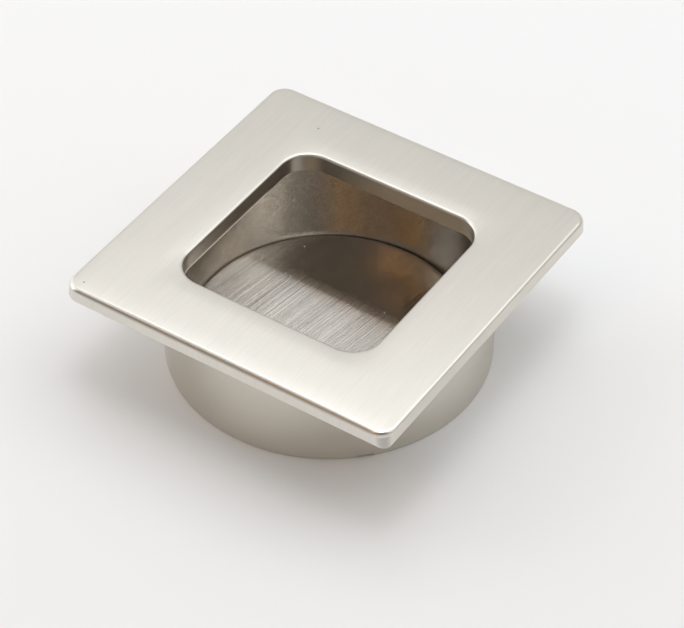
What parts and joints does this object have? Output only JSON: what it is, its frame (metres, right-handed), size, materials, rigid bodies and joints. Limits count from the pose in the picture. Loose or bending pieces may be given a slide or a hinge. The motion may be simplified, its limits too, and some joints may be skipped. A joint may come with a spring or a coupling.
{
  "type": "flush cup pull",
  "caption": "Square flush pull: a plate with a square finger opening over a round closed cup that drops into a bored hole.",
  "frame": {"origin": "centre of the collar in the plane of the plate's underside, which seats on the door's face", "axes": "+Z along the cup's axis, out of the door, with X and Y along the sides of the square plate"},
  "size_m": [0.06, 0.06, 0.02],
  "materials": {
    "casting": "satin nickel plated zinc, fine brushing on the face",
    "brushed_sheet": "straight brushed sheet metal"
  },
  "bodies": {
    "root": {"cup_body": "casting", "floor_disc": "brushed_sheet"}
  },
  "joints": []
}
